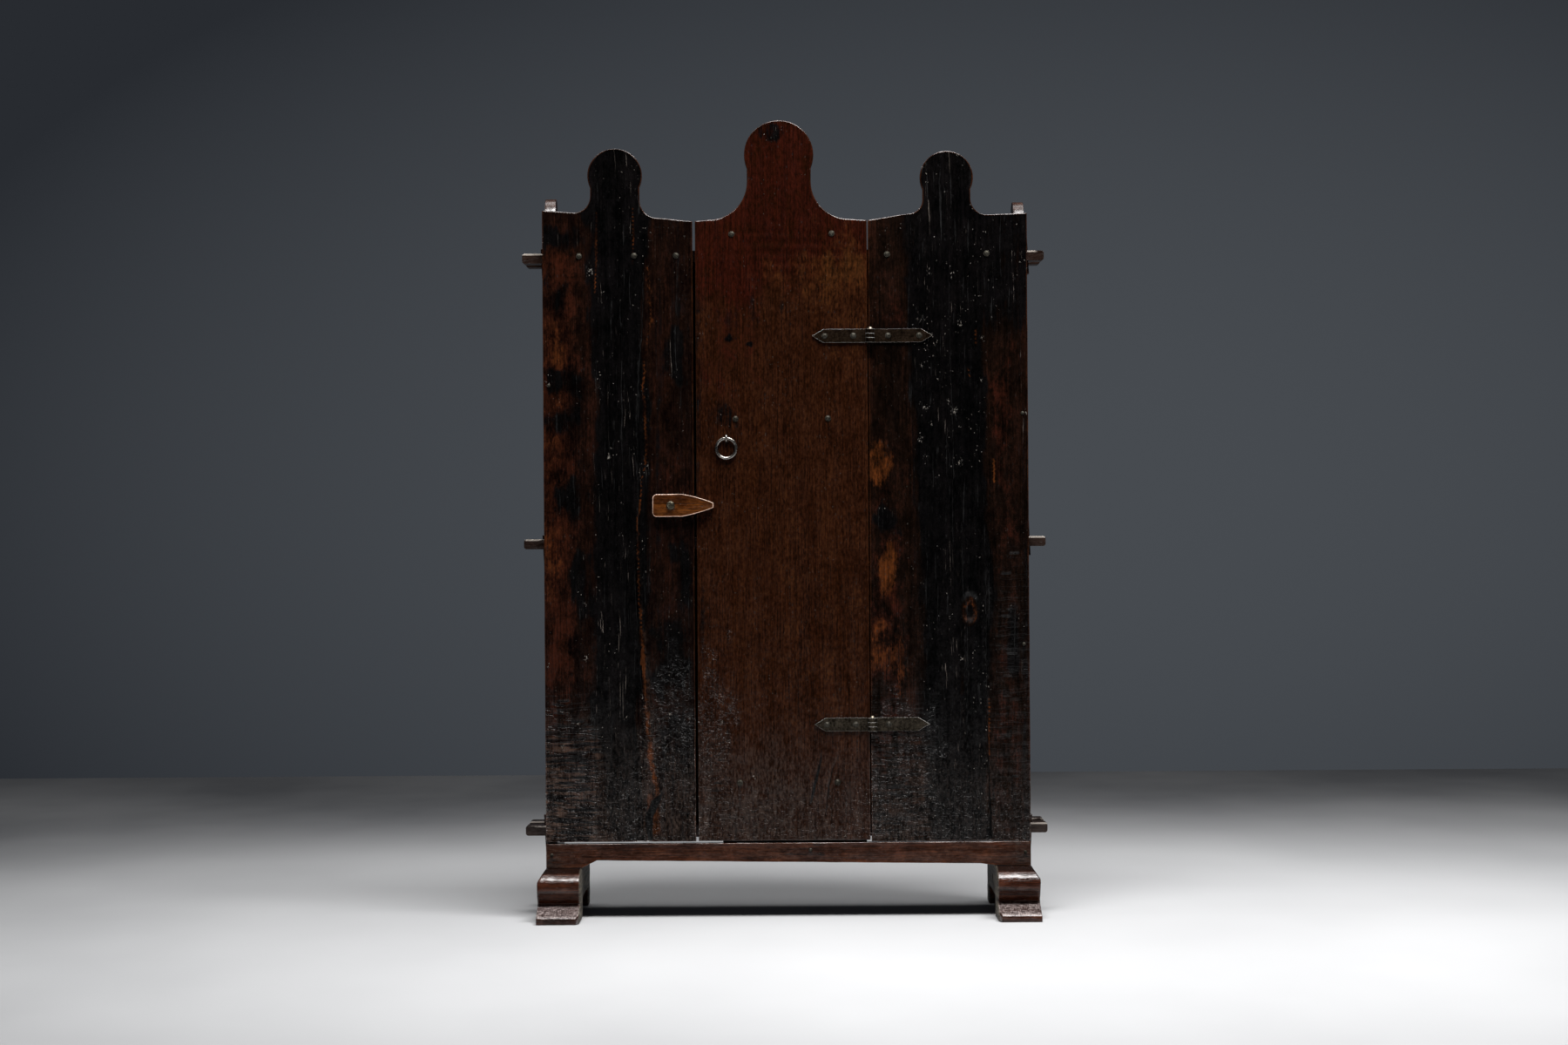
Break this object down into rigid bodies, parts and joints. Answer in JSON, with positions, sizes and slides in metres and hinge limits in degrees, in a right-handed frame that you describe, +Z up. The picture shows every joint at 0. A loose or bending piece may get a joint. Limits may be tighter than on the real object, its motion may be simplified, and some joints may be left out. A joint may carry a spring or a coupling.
{
  "type": "storage cabinet",
  "caption": "Narrow knock-down plank cabinet on sledge feet, with wedged through tenons, a sawn crest, a strap-hinged plank door, a ring pull and a turn button.",
  "frame": {"origin": "on the floor under the middle of the whole cabinet", "axes": "+Z up, +X to the right of a viewer who faces the door, +Y to the back, so that the door looks along -Y"},
  "size_m": [0.785, 0.31, 1.1909],
  "materials": {
    "dark_waxed_wood": "waxed, glossy",
    "light_wood": "worn, satin",
    "forged_iron": "dark, forged"
  },
  "bodies": {
    "carcass": {"left_foot": "dark_waxed_wood", "right_foot": "dark_waxed_wood", "foot_pegs": "dark_waxed_wood", "left_side": "dark_waxed_wood", "right_side": "dark_waxed_wood", "top_shelf": "dark_waxed_wood", "middle_shelf": "dark_waxed_wood", "bottom_shelf": "dark_waxed_wood", "wedge_left_top_front": "dark_waxed_wood", "wedge_left_top_rear": "dark_waxed_wood", "wedge_left_middle_front": "dark_waxed_wood", "wedge_left_middle_rear": "dark_waxed_wood", "wedge_left_bottom_front": "dark_waxed_wood", "wedge_left_bottom_rear": "dark_waxed_wood", "wedge_right_top_front": "dark_waxed_wood", "wedge_right_top_rear": "dark_waxed_wood", "wedge_right_middle_front": "dark_waxed_wood", "wedge_right_middle_rear": "dark_waxed_wood", "wedge_right_bottom_front": "dark_waxed_wood", "wedge_right_bottom_rear": "dark_waxed_wood", "left_front_plank": "dark_waxed_wood", "right_front_plank": "dark_waxed_wood", "apron": "dark_waxed_wood", "door_stop": "dark_waxed_wood", "back_plank_left": "dark_waxed_wood", "back_plank_middle": "dark_waxed_wood", "back_plank_right": "dark_waxed_wood", "front_nails": "forged_iron", "back_nails": "forged_iron", "upper_frame_strap": "forged_iron", "lower_frame_strap": "forged_iron", "upper_hinge_pin": "forged_iron", "lower_hinge_pin": "forged_iron", "frame_strap_nails": "forged_iron", "turn_button_screw": "forged_iron"},
    "door": {"door_plank": "dark_waxed_wood", "door_batten_top": "dark_waxed_wood", "door_batten_middle": "dark_waxed_wood", "door_batten_bottom": "dark_waxed_wood", "door_nails": "forged_iron", "upper_door_strap": "forged_iron", "lower_door_strap": "forged_iron", "door_strap_nails": "forged_iron", "ring_staple": "forged_iron"},
    "turn_button": {"turn_button": "light_wood"},
    "pull_ring": {"pull_ring": "forged_iron"}
  },
  "joints": [
    {"name": "door_swing", "type": "hinge", "parent": "carcass", "child": "door", "pos_m": [0.1265, -0.0773, 0.578], "axis": [0, 0, 1], "range_deg": [0, 165]},
    {"name": "turn_button_turn", "type": "hinge", "parent": "carcass", "child": "turn_button", "pos_m": [-0.1725, -0.0753, 0.6165], "axis": [0, 1, 0], "continuous": true},
    {"name": "ring_swing", "type": "hinge", "parent": "door", "child": "pull_ring", "pos_m": [-0.089, -0.07275, 0.716], "axis": [-1, 0, 0], "range_deg": [0, 165]}
  ]
}
